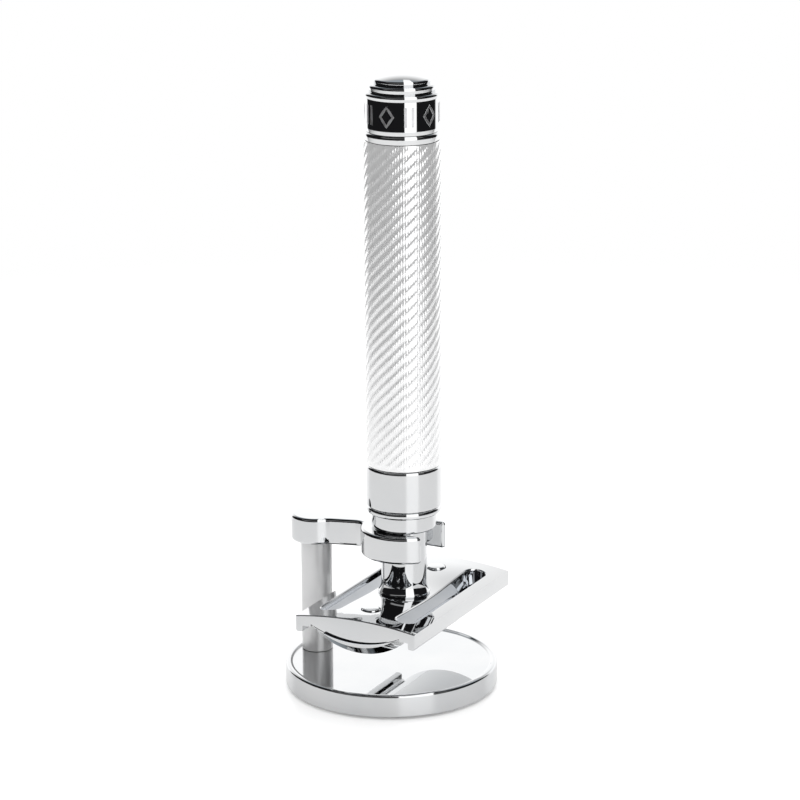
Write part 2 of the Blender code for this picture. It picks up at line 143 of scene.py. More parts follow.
CHROME = metal("mirror_chrome", (0.70, 0.705, 0.71), (0.67, 0.68, 0.69), (0.015, 0.035))
SATIN_CHROME = metal("satin_chrome", (0.67, 0.672, 0.675), (0.64, 0.642, 0.646), (0.3, 0.36), metallic=0.45)
KNURL_CHROME = metal("knurl_chrome", (0.93, 0.932, 0.936), (0.88, 0.882, 0.886), (0.17, 0.23), metallic=0.62)
MATT_CHROME = metal("etched_chrome", (0.72, 0.72, 0.73), (0.6, 0.6, 0.61), (0.32, 0.45), 0.00001)
ZINC = metal("zinc_plated_steel", (0.58, 0.59, 0.6), (0.44, 0.45, 0.47), (0.28, 0.42), 0.000008)
BLADE_STEEL = metal(
    "rolled_blade_steel",
    (0.82, 0.84, 0.87),
    (0.7, 0.73, 0.77),
    (0.05, 0.1),
    wave=0.000001,
    stretch=(1.0, 0.06, 1.0),
    grain=1500.0,
)
BRASS = metal(
    "turned_brass",
    (0.8, 0.62, 0.3),
    (0.7, 0.5, 0.22),
    (0.2, 0.34),
    wave=0.000006,
    stretch=(0.1, 0.1, 1.0),
    grain=2500.0,
)
RUBBER = metal(
    "black_rubber", (0.02, 0.02, 0.021), (0.035, 0.034, 0.033), (0.62, 0.85), 0.00003, metallic=0.0
)


# Outlines

def rounded(corners, closed=False, steps=5):
    """Points along (x, y, radius) corners, each corner rounded to its radius."""
    points = []
    count = len(corners)
    for place, (x, y, radius) in enumerate(corners):
        is_end = not closed and place in (0, count - 1)
        if radius == 0.0 or is_end:
            points.append((x, y))
            continue
        corner = Vector((x, y))
        before = (Vector(corners[place - 1][:2]) - corner).normalized()
        after = (Vector(corners[(place + 1) % count][:2]) - corner).normalized()
        half = before.angle(after) / 2
        centre = corner + (before + after).normalized() * radius / sin(half)
        start = corner + before * radius / tan(half) - centre
        end = corner + after * radius / tan(half) - centre
        sweep = start.angle(end)
        for step in range(steps + 1):
            share = step / steps
            spoke = (start * sin((1 - share) * sweep) + end * sin(share * sweep)) / sin(sweep)
            points.append(tuple(centre + spoke))
    return points


def arc(centre, radius, start, end, steps):
    """Points on an arc from start to end, in degrees."""
    points = []
    for step in range(steps + 1):
        angle = radians(start + (end - start) * step / steps)
        points.append((centre[0] + radius * cos(angle), centre[1] + radius * sin(angle)))
    return points


def flowing(points, steps):
    """A smooth curve through points."""

    def between(a, b, c, d, t):
        """The share t of the way from b to c, with a and d as their neighbours."""
        square = (2 * a - 5 * b + 4 * c - d) * t**2
        cube = (3 * b - a - 3 * c + d) * t**3
        return 0.5 * (2 * b + (c - a) * t + square + cube)

    ends = [points[0]] + points + [points[-1]]
    curve = []
    for p0, p1, p2, p3 in zip(ends, ends[1:], ends[2:], ends[3:]):
        for step in range(steps):
            curve.append(tuple(between(*values, step / steps) for values in zip(p0, p1, p2, p3)))
    return curve + [points[-1]]


def evenly(low, high, steps):
    return [low + (high - low) * step / steps for step in range(steps + 1)]


# Making pieces

def outward_mesh(name, vertices, faces):
    """A mesh whose faces all look outward."""
    mesh = bpy.data.meshes.new(name)
    mesh.from_pydata(vertices, [], faces)
    shape = bmesh.new()
    shape.from_mesh(mesh)
    bmesh.ops.recalc_face_normals(shape, faces=shape.faces)
    shape.to_mesh(mesh)
    shape.free()
    return mesh


def linked(name, data):
    """A new object in the scene."""
    made = bpy.data.objects.new(name, data)
    bpy.context.scene.collection.objects.link(made)
    return made


def piece(name, vertices, faces, material, body, replaced, weighted=True):
    """Makes one visible piece, riding on its body and standing for its CAD nodes."""
    mesh = outward_mesh(name, vertices, faces)
    mesh.shade_smooth()
    mesh.set_sharp_from_angle(angle=SHARP)
    mesh.materials.append(material)
    made = linked(name, mesh)
    if weighted:
        weigh(made)
    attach(made, body)
    if replaced:
        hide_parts(*replaced)


def weigh(made):
    """Leans each corner's shading towards its larger faces."""
    modifier = made.modifiers.new("even_normals", "WEIGHTED_NORMAL")
    modifier.keep_sharp = True
    modifier.weight = 100
    modifier.mode = "FACE_AREA"


def on_circle(centre, radius, angle, height):
    return centre[0] + radius * cos(angle), centre[1] + radius * sin(angle), height


def lathe_mesh(outline, sides, centre, closed):
    """Vertices and faces of an outline of (radius, height) spun about an upright axis."""
    vertices = []
    rows = []
    for radius, height in outline:
        if radius < 1e-9:
            rows.append([len(vertices)])
            vertices.append((centre[0], centre[1], height))
            continue
        rows.append(list(range(len(vertices), len(vertices) + sides)))
        for side in range(sides):
            angle = 2 * pi * side / sides
            vertices.append(on_circle(centre, radius, angle, height))
    faces = []
    pairs = list(zip(rows, rows[1:]))
    if closed:
        pairs.append((rows[-1], rows[0]))
    for row, following in pairs:
        for side in range(sides):
            after = (side + 1) % sides
            corners = [row[side % len(row)], row[after % len(row)]]
            corners += [following[after % len(following)], following[side % len(following)]]
            kept = list(dict.fromkeys(corners))
            if len(kept) > 2:
                faces.append(kept)
    return vertices, faces


def turned(name, outline, centre, material, body, replaced, sides=128, closed=False):
    vertices, faces = lathe_mesh(outline, sides, centre, closed)
    piece(name, vertices, faces, material, body, replaced)


def inset(outline, depth):
    """A closed outline moved inward by depth."""
    points = np.array(outline)
    ahead = np.roll(points, -1, axis=0) - points
    ahead /= np.linalg.norm(ahead, axis=1)[:, None]
    behind = np.roll(ahead, 1, axis=0)
    tangent = ahead + behind
    tangent /= np.linalg.norm(tangent, axis=1)[:, None]
    inward = np.stack([-tangent[:, 1], tangent[:, 0]], axis=1)
    area = np.sum(points[:, 0] * np.roll(points[:, 1], -1) - points[:, 1] * np.roll(points[:, 0], -1))
    if area < 0:
        inward = -inward
    mitre = np.sum(ahead * tangent, axis=1).clip(0.5, 1.0)
    return points + inward * depth / mitre[:, None]


def skinned(rings):
    """Vertices and faces of a stack of closed rings of 3-D points, with both ends closed."""
    count = len(rings[0])
    vertices = [tuple(point) for ring in rings for point in ring]
    faces = []
    for row in range(len(rings) - 1):
        for place in range(count):
            after = (place + 1) % count
            first, second = row * count, (row + 1) * count
            faces.append((first + place, first + after, second + after, second + place))
    faces.append(tuple(range(count)))
    faces.append(tuple(range((len(rings) - 1) * count, len(rings) * count)))
    return vertices, faces


def slab(outline, bottom, top, edge, steps=6):
    """An upright prism whose two rims are rounded to the radius edge."""
    rings = []
    for step in range(steps + 1):
        angle = pi / 2 * step / steps
        ring = inset(outline, edge * (1 - sin(angle)))
        rings.append([(x, y, bottom + edge * (1 - cos(angle))) for x, y in ring])
    for step in range(steps + 1):
        angle = pi / 2 * step / steps
        ring = inset(outline, edge * (1 - cos(angle)))
        rings.append([(x, y, top - edge * (1 - sin(angle))) for x, y in ring])
    return skinned(rings)


def twisted_tube(bottom, top, sides, rows_per_turn, row_height, radius_at, bore, centre):
    """A tube whose rows climb round it, for threads and spiral knurling.

    radius_at(side, row, height) gives the radius; the rows follow the spiral exactly.
    """
    low_ring = list(range(sides))
    high_ring = list(range(sides, 2 * sides))
    vertices = []
    for height in (bottom, top):
        for side in range(sides):
            angle = 2 * pi * side / sides
            radius = radius_at(side, 0, height)
            vertices.append(on_circle(centre, radius, angle, height))
    rows = ceil((top - bottom) / row_height)
    margin = 0.05 * row_height  # a corner this close to an end belongs to it
    known = {}

    def corner(side, row):
        if side == sides:
            side, row = 0, row + rows_per_turn
        if (side, row) in known:
            return known[side, row]
        height = bottom + (row + rows_per_turn * side / sides) * row_height
        if height <= bottom + margin:
            found = low_ring[side]
        elif height >= top - margin:
            found = high_ring[side]
        else:
            angle = 2 * pi * side / sides
            radius = radius_at(side, row, height)
            found = len(vertices)
            vertices.append(on_circle(centre, radius, angle, height))
        known[side, row] = found
        return found

    faces = []
    for side in range(sides):
        for row in range(-rows_per_turn - 1, rows + 1):
            corners = [corner(side, row), corner(side + 1, row)]
            corners += [corner(side + 1, row + 1), corner(side, row + 1)]
            kept = list(dict.fromkeys(corners))
            if len(kept) > 2:
                faces.append(kept)
    if bore == 0.0:
        faces.append(list(reversed(low_ring)))
        faces.append(high_ring)
        return vertices, faces
    inner = []
    for height in (bottom, top):
        ring = []
        for side in range(sides):
            angle = 2 * pi * side / sides
            ring.append(len(vertices))
            vertices.append(on_circle(centre, bore, angle, height))
        inner.append(ring)
    for side in range(sides):
        after = (side + 1) % sides
        faces.append((low_ring[side], low_ring[after], inner[0][after], inner[0][side]))
        faces.append((high_ring[side], high_ring[after], inner[1][after], inner[1][side]))
        faces.append((inner[0][side], inner[0][after], inner[1][after], inner[1][side]))
    return vertices, faces


def with_holes(name, solid, cutters, normal_at):
    """The vertices, faces and corner normals of a solid with cutters taken out of it.

    normal_at(point, normal) gives a face's true surface normal at a point, or None.
    """
    objects = []
    for part in [solid] + cutters:
        blank = name + "_blank"
        objects.append(linked(blank, outward_mesh(blank, *part)))
    for cutter in objects[1:]:
        modifier = objects[0].modifiers.new("cut", "BOOLEAN")
        modifier.operation = "DIFFERENCE"
        modifier.solver = "EXACT"
        modifier.object = cutter
    bpy.context.view_layer.update()
    evaluated = objects[0].evaluated_get(bpy.context.evaluated_depsgraph_get())
    mesh = bpy.data.meshes.new_from_object(evaluated)
    for made in objects:
        bpy.data.objects.remove(made, do_unlink=True)
    mesh.name = name
    mesh.shade_smooth()
    mesh.set_sharp_from_angle(angle=SHARP)
    normals = [tuple(corner.vector) for corner in mesh.corner_normals]
    for face in mesh.polygons:
        for loop in face.loop_indices:
            point = mesh.vertices[mesh.loops[loop].vertex_index].co
            true = normal_at(point, face.normal)
            if true is not None:
                normals[loop] = true
    mesh.normals_split_custom_set(normals)
    return mesh


def cut_piece(name, mesh, material, body, replaced):
    """Makes one visible piece of a mesh that with_holes has finished."""
    mesh.materials.append(material)
    made = linked(name, mesh)
    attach(made, body)
    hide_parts(*replaced)


# Stand

BASE_FLOOR_DROP = 0.35 * MM
BASE_RIM_WIDTH = 0.95 * MM
BASE_RIM_SLOPE = 0.42 * MM
ARM_EDGE = 0.6 * MM
FORK_SLOT = 4.8 * MM  # radius
FORK_TIP_ROUND = 0.62 * MM
FORK_TIP_TURN = 0.25  # radians of the fork's outer edge that a tip takes up
FORK_END = 168  # degrees from +X
LOBE_RADIUS = 4.95 * MM
LOBE_START = 43  # degrees from +X
# Points on the waist's edge from the razor's axis, in mm
ARM_WAIST = ((-8.75, 1.55), (-9.35, 1.45), (-10.1, 1.55), (-12.3, 2.16), (-14.6, 2.8), (-15.25, 3.06))


def make_base():
    radius = radius_of("stand_base")
    bottom, top = bottom_of("stand_base"), top_of("stand_base")
    floor = top - BASE_FLOOR_DROP
    rim = radius - BASE_RIM_WIDTH
    recess = radius_of("base_pad") + SEAM
    recess_top = top_of("base_pad") + SEAM
    outline = rounded(
        [
            (0.0, recess_top, 0.0),
            (recess, recess_top, 0.0),
            (recess, bottom, 0.05 * MM),
            (radius, bottom, 0.4 * MM),
            (radius, top, 0.48 * MM),
            (rim, top, 0.3 * MM),
            (rim - BASE_RIM_SLOPE, floor, 0.6 * MM),
            (0.0, floor, 0.0),
        ]
    )
    turned(
        "base_disc", outline, centre_of("stand_base"), CHROME, "stand", ["stand_base"], 256
    )


def make_post():
    radius = radius_of("stand_post")
    bottom = top_of("stand_base") - BASE_FLOOR_DROP + SEAM
    top = bottom_of("stand_arm") - SEAM
    outline = rounded(
        [
            (0.0, bottom, 0.0),
            (radius, bottom, 0.15 * MM),
            (radius, top, 0.15 * MM),
            (0.0, top, 0.0),
        ],
        steps=4,
    )
    turned("post_rod", outline, POST, SATIN_CHROME, "stand", ["stand_post"])


def arm_outline():
    """Fork, waist and lobe about the razor's axis, anticlockwise."""
    reach = RAZOR[0] - POST[0]
    fork = radius_of("stand_arm")
    mouth = asin(FORK_SLOT / fork)
    tip_end = mouth + FORK_TIP_TURN
    start = radians(LOBE_START)
    lobe_start = (-reach + LOBE_RADIUS * cos(start), LOBE_RADIUS * sin(start))
    waist = flowing([(x * MM, y * MM) for x, y in ARM_WAIST] + [lobe_start], 8)
    tip = rounded(
        [
            (0.0, FORK_SLOT, 0.0),
            (fork * cos(mouth), FORK_SLOT, FORK_TIP_ROUND),
            (fork * cos(tip_end), fork * sin(tip_end), 0.0),
        ],
        steps=8,
    )
    upper = arc((0.0, 0.0), FORK_SLOT, 180, 92, 40)
    upper += tip[:-1]
    upper += arc((0.0, 0.0), fork, tip_end * 180 / pi, FORK_END, 64)
    upper += waist
    upper += arc((-reach, 0.0), LOBE_RADIUS, LOBE_START + 2, 180, 48)
    lower = [(x, -y) for x, y in reversed(upper[1:-1])]
    return [(RAZOR[0] + x, y) for x, y in upper + lower]


def make_arm():
    bottom, top = bottom_of("stand_arm"), top_of("stand_arm")
    vertices, faces = slab(arm_outline(), bottom, top, ARM_EDGE)
    piece("fork_arm", vertices, faces, CHROME, "stand", ["stand_arm"])


# Handle

NECK_FOOT = 5.05 * MM  # radius, as in the next three
NECK_NARROW = 4.45 * MM
INSERT_HOLE = 3.8 * MM
CORE_HOLE = 2.8 * MM
INSERT_HOLE_TOP = 31.3 * MM  # height, as in the next two
CORE_HOLE_BOTTOM = 38.2 * MM
CORE_HOLE_TOP = 113.3 * MM
SPIGOT = 5.0 * MM  # radius
FLARE_START = 0.75 * MM  # above the plate, as in the next
FLARE_END = 2.9 * MM
FLARE_STEP = 0.12 * MM
FLARE_POWER = 2.6


def make_neck():
    plate_seat = bottom_of("neck") - TOUCH + SEAM
    arm_top = top_of("stand_arm") + SEAM
    shoulder = radius_of("neck")
    flare = []
    low, high = plate_seat + FLARE_START, plate_seat + FLARE_END
    swell = NECK_FOOT - FLARE_STEP - NECK_NARROW
    for share in evenly(0.0, 1.0, 14):
        flare.append((NECK_NARROW + swell * (1 - share) ** FLARE_POWER, low + (high - low) * share, 0.0))
    shoulder_top = bottom_of("handle_collar") - SEAM
    corners = [
        (INSERT_HOLE, plate_seat, 0.0),
        (NECK_FOOT, plate_seat, 0.12 * MM),
        (NECK_FOOT, plate_seat + 0.62 * MM, 0.1 * MM),
        *flare,
        (NECK_NARROW, arm_top, 0.0),
        (shoulder, arm_top, 0.6 * MM),
        (shoulder, shoulder_top, 0.2 * MM),
        (SPIGOT, shoulder_top, 0.0),
        (SPIGOT, top_of("neck"), 0.3 * MM),
        (CORE_HOLE, top_of("neck"), 0.0),
        (CORE_HOLE, CORE_HOLE_BOTTOM, 0.0),
        (0.0, CORE_HOLE_BOTTOM, 0.0),
    ]
    inner = [(0.0, INSERT_HOLE_TOP, 0.0), (INSERT_HOLE, INSERT_HOLE_TOP, 0.0)]
    outline = rounded(inner + corners)
    turned("neck_turning", outline, RAZOR, CHROME, "handle", ["neck"], 160)


RING_BORE = 5.02 * MM
COLLAR_BEAD = 1.4 * MM


def make_collar():
    radius = radius_of("handle_collar")
    bottom = bottom_of("handle_collar")
    groove = bottom + COLLAR_BEAD
    top = bottom_of("grip_seal_lower") - SEAM
    outline = rounded(
        [
            (RING_BORE, bottom, 0.0),
            (radius, bottom, 0.55 * MM),
            (radius, groove, 0.58 * MM),
            (radius - 0.6 * MM, groove, 0.0),
            (radius - 0.6 * MM, groove + 0.06 * MM, 0.0),
            (radius, groove + 0.06 * MM, 0.25 * MM),
            (radius, top, 0.6 * MM),
            (RING_BORE, top, 0.0),
        ],
        closed=True,
    )
    turned("collar_ring", outline, RAZOR, CHROME, "handle", ["handle_collar"], 192, True)


def make_bead():
    radius = radius_of("bead_ring")
    outline = rounded(
        [
            (RING_BORE, bottom_of("bead_ring"), 0.0),
            (radius - 0.22 * MM, bottom_of("bead_ring"), 0.0),
            (radius, bottom_of("bead_ring") + 0.95 * MM, 1.0 * MM),
            (radius, top_of("bead_ring"), 0.58 * MM),
            (RING_BORE, top_of("bead_ring"), 0.0),
        ],
        closed=True,
    )
    turned("top_bead", outline, RAZOR, CHROME, "handle", ["bead_ring"], 192, True)


def make_band():
    radius = radius_of("end_band")
    bottom = top_of("bead_ring") + SEAM
    top = top_of("end_band") + TOUCH - SEAM
    outline = rounded(
        [
            (RING_BORE, bottom, 0.0),
            (radius - 0.15 * MM, bottom, 0.0),
            (radius, bottom + 0.75 * MM, 0.8 * MM),
            (radius, top, 0.0),
            (RING_BORE, top, 0.0),
        ],
        closed=True,
    )
    turned("plain_band", outline, RAZOR, CHROME, "handle", ["end_band"], 192, True)
    make_marks(radius, (bottom + MARK_CLEAR + top) / 2)


MARK_COUNT = 10
MARK_CLEAR = 0.7 * MM  # of the band's foot, which the marks leave free
MARK_HEIGHT = 3.7 * MM
MARK_WIDTH = 2.6 * MM
MARK_STROKE = 0.5 * MM
MARK_RISE = 0.05 * MM


def make_marks(radius, middle):
    """A plain ring of lozenges and bar pairs, slightly raised and matt."""
    vertices, faces = [], []

    def strip(path, closed):
        """A raised stroke along a path of (across, up) points, wrapped on the band."""
        points = [Vector(point) for point in path]
        rings = []
        count = len(points)
        for place, point in enumerate(points):
            before = points[place - 1] if closed or place else point
            after = points[(place + 1) % count] if closed or place < count - 1 else point
            along = (after - before).normalized()
            side = Vector((-along.y, along.x)) * MARK_STROKE / 2
            rings.append([(point - side, -1), (point + side, -1), (point + side, 1), (point - side, 1)])
        start = len(vertices)
        for ring in rings:
            for (across, up), lift in ring:
                angle = across / radius
                out = radius + lift * MARK_RISE
                vertices.append(on_circle(RAZOR, out, angle, middle + up))
        turns = count if closed else count - 1
        for place in range(turns):
            first = start + 4 * place
            second = start + 4 * ((place + 1) % count)
            for corner in range(4):
                after = (corner + 1) % 4
                faces.append((first + corner, first + after, second + after, second + corner))
        if not closed:
            faces.append(tuple(range(start, start + 4)))
            faces.append(tuple(range(start + 4 * (count - 1), start + 4 * count)))

    first_angle = CAMERA_AZIMUTH - pi / 2 - radians(25)
    for place in range(MARK_COUNT):
        middle_across = radius * (first_angle + 2 * pi * place / MARK_COUNT)
        half_height, half_width = MARK_HEIGHT / 2, MARK_WIDTH / 2
        if place % 2:
            for side in (-0.55, 0.55):
                across = middle_across + side * half_width
                strip([(across, up) for up in evenly(-half_height, half_height, 2)], False)
            continue
        lozenge = []
        tips = [(0.0, -half_height), (half_width, 0.0), (0.0, half_height), (-half_width, 0.0)]
        for tip, following in zip(tips, tips[1:] + tips[:1]):
            for share in (0.0, 0.5):
                across = tip[0] + (following[0] - tip[0]) * share
                lozenge.append((middle_across + across, tip[1] + (following[1] - tip[1]) * share))
        strip(lozenge, True)
    piece("band_marks", vertices, faces, MATT_CHROME, "handle", [], weighted=False)


STEP_DROPS = (3.25 * MM, 1.8 * MM, 0.85 * MM)  # tops of the three rings, below the dome's top
STEP_INSETS = (0.78 * MM, 1.81 * MM)  # of the two upper rings


def make_end_cap():
    top = top_of("end_cap")
    radius = radius_of("end_cap")
    seat = top_of("end_band") + TOUCH
    step_1, step_2, edge = (top - drop for drop in STEP_DROPS)
    radius_2, radius_3 = (radius - narrowing for narrowing in STEP_INSETS)
    rise = top - edge
    dome_radius = (radius_3**2 + rise**2) / (2 * rise)
    reach = asin(radius_3 / dome_radius)
    dome = []
    for angle in evenly(reach * 0.93, 0.0, 14):
        dome.append((dome_radius * sin(angle), top - dome_radius * (1 - cos(angle)), 0.0))
    corners = [
        (0.0, CORE_HOLE_TOP, 0.0),
        (CORE_HOLE, CORE_HOLE_TOP, 0.0),
        (CORE_HOLE, bottom_of("end_cap"), 0.0),
        (SPIGOT, bottom_of("end_cap"), 0.0),
        (SPIGOT, seat, 0.0),
        (radius - 0.23 * MM, seat, 0.0),
        (radius, seat + 0.55 * MM, 0.1 * MM),
        (radius, step_1, 0.45 * MM),
        (radius_2 - 0.19 * MM, step_1, 0.0),
        (radius_2, step_1 + 0.95 * MM, 0.4 * MM),
        (radius_2, step_2, 0.42 * MM),
        (radius_3 - 0.11 * MM, step_2, 0.0),
        (radius_3, step_2 + 0.55 * MM, 0.2 * MM),
        (radius_3, edge, 0.36 * MM),
        *dome,
    ]
    turned("dome_cap", rounded(corners), RAZOR, CHROME, "handle", ["end_cap"], 192)


KNURL_STARTS = 21
KNURL_PITCH = 2.08 * MM  # up the handle
KNURL_ROWS = 9  # for each pitch
KNURL_DEPTH = 0.09 * MM
KNURL_SIDES = 360
SERRATION_SIDES = 4
SERRATION_DEPTH = 0.1 * MM
KNURL_RUN_OUT = 0.4 * MM
LOWER_LAND = 0.55 * MM
UPPER_LAND = 0.05 * MM
GRIP_BORE = 6.1 * MM  # radius
RIM_DROP = 0.1 * MM  # from the knurl's crests to the grip's rims
WASHER = 0.1 * MM  # what shows of a washer, squeezed between its neighbours
WASHER_HOLE = 5.3 * MM  # radius


def make_grip():
    bottom = bottom_of("grip_seal_lower") + WASHER + SEAM
    top = bottom_of("bead_ring") - WASHER - SEAM
    crest = radius_of("grip_sleeve")
    rim = crest - RIM_DROP

    def radius_at(side, row, height):
        reach = min(height - bottom - LOWER_LAND, top - height - UPPER_LAND)
        share = min(1.0, max(0.0, reach) / KNURL_RUN_OUT)
        rib = (1.0 + cos(2 * pi * row / KNURL_ROWS)) / 2
        notch = abs(2 * (side % SERRATION_SIDES) / SERRATION_SIDES - 1)
        return rim + (crest - KNURL_DEPTH * rib - SERRATION_DEPTH * notch * (1.0 - rib) - rim) * share

    vertices, faces = twisted_tube(
        bottom,
        top,
        KNURL_SIDES,
        KNURL_STARTS * KNURL_ROWS,
        KNURL_PITCH / KNURL_ROWS,
        radius_at,
        GRIP_BORE,
        RAZOR,
    )
    piece(
        "knurled_grip",
        vertices,
        faces,
        KNURL_CHROME,
        "handle",
        ["grip_sleeve"],
        weighted=False,
    )


def make_seals():
    lower = bottom_of("grip_seal_lower")
    upper = bottom_of("bead_ring") - SEAM - WASHER
    for name, node, bottom in (
        ("lower_washer", "grip_seal_lower", lower),
        ("upper_washer", "grip_seal_upper", upper),
    ):
        radius = radius_of(node) - RIM_DROP
        outline = rounded(
            [
                (WASHER_HOLE, bottom, 0.0),
                (radius, bottom, 0.03 * MM),
                (radius, bottom + WASHER, 0.03 * MM),
                (WASHER_HOLE, bottom + WASHER, 0.0),
            ],
            closed=True,
            steps=3,
        )
        turned(name, outline, RAZOR, RUBBER, "handle", [node], 128, True)


# Head

STUD_PITCH = 0.8 * MM
STUD_THREAD = 0.42 * MM  # depth
STUD_RUN_OUT = 0.9 * MM
STUD_LEAD_IN = 0.45 * MM
STUD_TIP = 0.5 * MM  # how much narrower the stud's end is


def make_stud():
    bottom = bottom_of("cap_stud")
    top = top_of("cap_stud")
    crest = radius_of("cap_stud")
    sides, rows = 64, 8

    def radius_at(side, row, height):
        if height >= top:
            return crest - STUD_TIP
        share = min(1.0, (top - height) / STUD_RUN_OUT)
        depth = STUD_THREAD * abs(2 * ((row % rows) / rows) - 1)
        return crest - STUD_LEAD_IN * (1 - share) - depth * share

    vertices, faces = twisted_tube(bottom, top, sides, rows, STUD_PITCH / rows, radius_at, 0.0, RAZOR)
    piece("threaded_stud", vertices, faces, CHROME, "cap", ["cap_stud"], weighted=False)


def make_pins():
    for name, node in (("front_pin", "alignment_pin_front"), ("back_pin", "alignment_pin_back")):
        radius = radius_of(node)
        bottom, top = bottom_of(node), top_of(node)
        outline = rounded(
            [
                (0.0, bottom, 0.0),
                (radius, bottom, 0.0),
                (radius, top, 0.3 * MM),
                (0.0, top, 0.0),
            ]
        )
        turned(name, outline, centre_of(node), CHROME, "cap", [node], 64)


PLATE_END_ROUND = 0.2 * MM
SLOT_ROUND = 0.35 * MM
SLOT_X = 8.1 * MM
SLOT_HALF_WIDTH = 2.05 * MM
SLOT_HALF_LENGTH = 17.0 * MM
WEB_SCOOP = 0.7 * MM
WEB_SCOOP_HALF_LENGTH = 18.0 * MM
WEB_BLEND = 1.5 * MM  # each way from the slot's middle
BAR_WIDTH = 1.4 * MM
BAR_RELIEF = 1.3 * MM
PIN_PLAY = 0.12 * MM
PIN_LIP = 0.15 * MM
SEAT_RADIUS = 5.2 * MM
STUD_HOLE = 2.75 * MM  # radius
PLATE_LOW, PLATE_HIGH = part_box("base_plate")
PLATE_HALF_WIDTH = (PLATE_HIGH.x - PLATE_LOW.x) / 2
PLATE_HALF_LENGTH = (PLATE_HIGH.y - PLATE_LOW.y) / 2
CROWN_RISE = 1.05 * MM
CROWN_RADIUS = (PLATE_HALF_WIDTH**2 + CROWN_RISE**2) / (2 * CROWN_RISE)
BLADE_LOW, BLADE_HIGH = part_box("blade")
BEND_RADIUS = 22.0 * MM
BED_HALF_WIDTH = 9.5 * MM
BLADE_PLAY = 0.065 * MM  # from the middle of the blade to the plate and to the cap


def eased(value, low, high):
    share = min(1.0, max(0.0, (value - low) / (high - low)))
    return share * share * (3 - 2 * share)


def plate_top(x, y):
    """Height of the plate's upper face; x is from the razor's axis."""
    height = PLATE_HIGH.z - (CROWN_RADIUS - sqrt(CROWN_RADIUS**2 - x * x))
    if abs(y) < WEB_SCOOP_HALF_LENGTH:
        web = 1.0 - eased(abs(x), SLOT_X - WEB_BLEND, SLOT_X + WEB_BLEND)
        height -= web * WEB_SCOOP * (1 + cos(pi * y / WEB_SCOOP_HALF_LENGTH)) / 2
    gap = PLATE_HALF_LENGTH - abs(y)
    if gap < PLATE_END_ROUND:
        height -= PLATE_END_ROUND - sqrt(max(0.0, PLATE_END_ROUND**2 - (PLATE_END_ROUND - gap) ** 2))
    return height


def plate_normal(point, normal):
    """The upper face's true normal at a point on it, or None for a point elsewhere."""
    if normal.z < 0.3:
        return None
    x, y = point.x - RAZOR[0], point.y
    if abs(x) > PLATE_HALF_WIDTH - 0.01 * MM or abs(y) > PLATE_HALF_LENGTH - 0.02 * MM:
        return None
    if abs(point.z - plate_top(x, y)) > 0.012 * MM or abs(normal.x) > 0.3:
        return None
    step = 0.02 * MM
    slope_x = (plate_top(x + step, y) - plate_top(x - step, y)) / (2 * step)
    slope_y = (plate_top(x, y + step) - plate_top(x, y - step)) / (2 * step)
    true = Vector((-slope_x, -slope_y, 1.0)).normalized()
    return tuple(true) if true.dot(normal) > 0.93 else None


def blade_mid(x):
    """Height of the middle of the blade's thickness; x is from the razor's axis."""
    return BLADE_LOW.z + 0.05 * MM + BEND_RADIUS - sqrt(BEND_RADIUS**2 - x * x)


def end_places(half_length, edge, coarse):
    """Places along the head, closer together over the edge at each of its ends."""
    rounding = [half_length - edge * (1 - cos(angle)) for angle in evenly(0.0, pi / 2, 8)]
    middle = evenly(-rounding[-1], rounding[-1], coarse)
    return [-place for place in rounding] + middle[1:-1] + list(reversed(rounding))


def flared_cutter(outline, depth, edge):
    """A cutter with upright walls below the plate's upper face and a rounded lip at it."""
    rings = [[(RAZOR[0] + x, y, depth) for x, y in outline]]
    lip_end = radians(78)
    for angle in evenly(0.0, lip_end, 5):
        ring = inset(outline, -edge * (1 - cos(angle)))
        rings.append([(RAZOR[0] + x, y, plate_top(x, y) - edge * (1 - sin(angle))) for x, y in ring])
    ring = inset(outline, -edge * (1 - cos(lip_end)) - 0.4 * MM)
    rings.append([(RAZOR[0] + x, y, plate_top(x, y) + 0.08 * MM) for x, y in ring])
    rings.append([(RAZOR[0] + x, y, PLATE_HIGH.z + 1.0 * MM) for x, y in ring])
    return skinned(rings)


